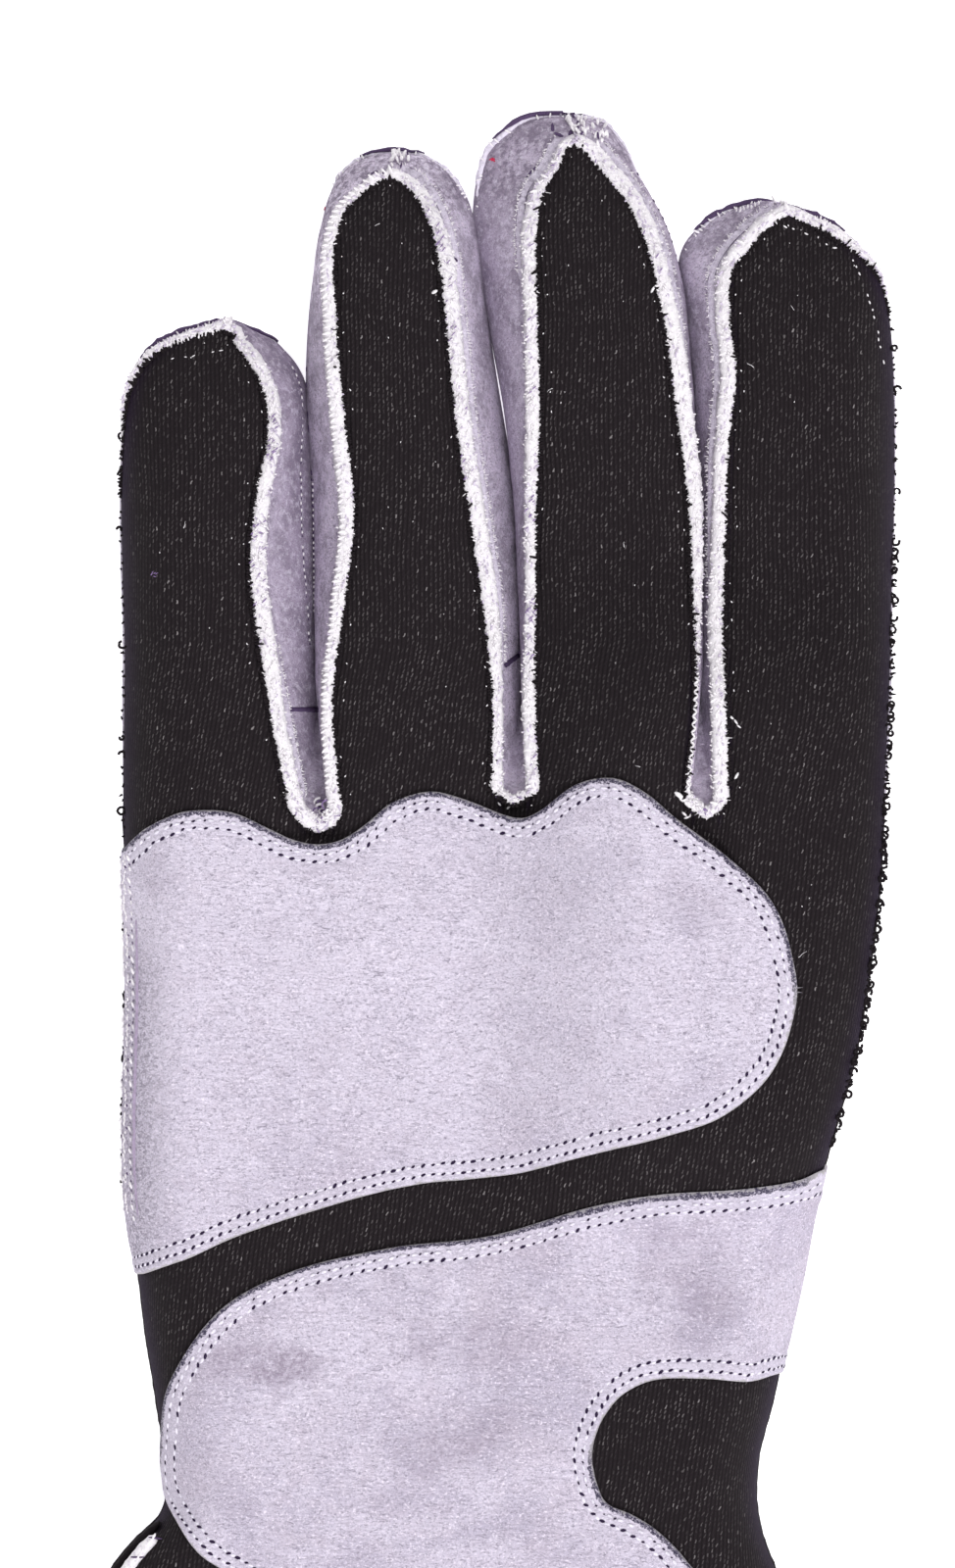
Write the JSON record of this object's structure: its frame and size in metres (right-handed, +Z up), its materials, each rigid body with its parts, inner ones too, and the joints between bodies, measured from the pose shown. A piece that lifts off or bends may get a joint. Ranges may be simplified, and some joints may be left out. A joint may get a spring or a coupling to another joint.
{
  "type": "racing glove",
  "caption": "Left racing glove lying palm down: knit back, leather palm, walled fingers with raised seams, knuckle and wrist patches, open cuff.",
  "frame": {"origin": "under the middle of the glove's box, on the surface that it lies on", "axes": "+X from the little finger to the index finger, +Y from the cuff to the fingertips, +Z up through the back of the hand"},
  "size_m": [0.1102, 0.2428, 0.0258],
  "materials": {
    "knit": "matt",
    "palm_leather": "suede",
    "patch_suede": "suede",
    "side_wall_suede": "suede",
    "raw_seam": "matt"
  },
  "bodies": {
    "root": {"back_panel": "knit", "palm_panel": "palm_leather", "fourchette_little_ring": "side_wall_suede", "seam_little_ring": "raw_seam", "fourchette_ring_middle": "side_wall_suede", "seam_ring_middle": "raw_seam", "fourchette_middle_index": "side_wall_suede", "seam_middle_index": "raw_seam", "knuckle_patch": "patch_suede", "wrist_patch": "patch_suede", "thumb_back": "knit", "thumb_front": "palm_leather"}
  },
  "joints": []
}
